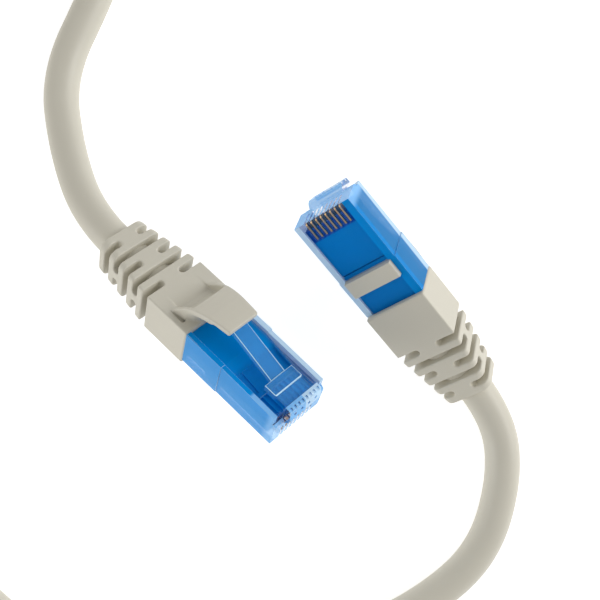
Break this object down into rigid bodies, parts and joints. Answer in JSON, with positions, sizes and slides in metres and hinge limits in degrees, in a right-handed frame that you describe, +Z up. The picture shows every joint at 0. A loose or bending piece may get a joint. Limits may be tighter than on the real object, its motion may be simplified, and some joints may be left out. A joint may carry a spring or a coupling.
{
  "type": "ethernet patch cable",
  "caption": "Round network patch cable in one open loop, with a clear blue latching plug and a slotted snagless boot at each end.",
  "frame": {"origin": "on the table under the middle of the two plugs, measured without the cable", "axes": "+Z up from the table, +X from the plug with its latch side up towards the one with its contact side up"},
  "size_m": [0.1292, 0.1707, 0.0309],
  "materials": {
    "cable_jacket": "satin PVC",
    "boot": "soft satin PVC",
    "clear_blue": "clear tinted polycarbonate",
    "insert_blue": "smooth moulded",
    "gold": "gold plated",
    "wire_orange": "satin",
    "wire_green": "satin",
    "wire_blue": "satin",
    "wire_brown": "satin"
  },
  "bodies": {
    "cable": {"cable_run": "cable_jacket", "plug_a_housing": "clear_blue", "plug_a_load_bar": "insert_blue", "plug_a_wire_guide": "insert_blue", "plug_a_jacket_end": "cable_jacket", "plug_a_boot_shell": "boot", "plug_a_lock_bar": "boot", "plug_a_contact_1": "gold", "plug_a_contact_2": "gold", "plug_a_contact_3": "gold", "plug_a_contact_4": "gold", "plug_a_contact_5": "gold", "plug_a_contact_6": "gold", "plug_a_contact_7": "gold", "plug_a_contact_8": "gold", "plug_a_pair_orange": "wire_orange", "plug_a_pair_green": "wire_green", "plug_a_pair_blue": "wire_blue", "plug_a_pair_brown": "wire_brown", "plug_b_housing": "clear_blue", "plug_b_load_bar": "insert_blue", "plug_b_wire_guide": "insert_blue", "plug_b_jacket_end": "cable_jacket", "plug_b_boot_shell": "boot", "plug_b_lock_bar": "boot", "plug_b_contact_1": "gold", "plug_b_contact_2": "gold", "plug_b_contact_3": "gold", "plug_b_contact_4": "gold", "plug_b_contact_5": "gold", "plug_b_contact_6": "gold", "plug_b_contact_7": "gold", "plug_b_contact_8": "gold", "plug_b_pair_orange": "wire_orange", "plug_b_pair_green": "wire_green", "plug_b_pair_blue": "wire_blue", "plug_b_pair_brown": "wire_brown"},
    "latch_a": {"plug_a_latch": "clear_blue"},
    "cover_a": {"plug_a_latch_cover": "boot"},
    "latch_b": {"plug_b_latch": "clear_blue"},
    "cover_b": {"plug_b_latch_cover": "boot"}
  },
  "joints": [
    {"name": "cover_press_a", "type": "hinge", "parent": "cable", "child": "cover_a", "pos_m": [-0.01826, 0.00231, 0.02077], "axis": [0.6762, 0.5067, -0.5348], "range_deg": [0, 16], "stiffness_Nm_per_rad": 0.05},
    {"name": "latch_press_a", "type": "hinge", "parent": "cable", "child": "latch_a", "pos_m": [-0.00022, -0.01397, 0.02816], "axis": [-0.6762, -0.5067, 0.5348], "range_deg": [0, 10], "stiffness_Nm_per_rad": 0.05},
    {"name": "cover_press_b", "type": "hinge", "parent": "cable", "child": "cover_b", "pos_m": [0.02138, 0.00136, 0.00754], "axis": [0.7512, 0.3996, 0.5255], "range_deg": [0, 16], "stiffness_Nm_per_rad": 0.05},
    {"name": "latch_press_b", "type": "hinge", "parent": "cable", "child": "latch_b", "pos_m": [0.00571, 0.01934, 0.01627], "axis": [-0.7512, -0.3996, -0.5255], "range_deg": [0, 10], "stiffness_Nm_per_rad": 0.05}
  ],
  "couplings": [
    {"joint": "latch_press_a", "follows": "cover_press_a", "ratio": 0.625},
    {"joint": "latch_press_b", "follows": "cover_press_b", "ratio": 0.625}
  ]
}
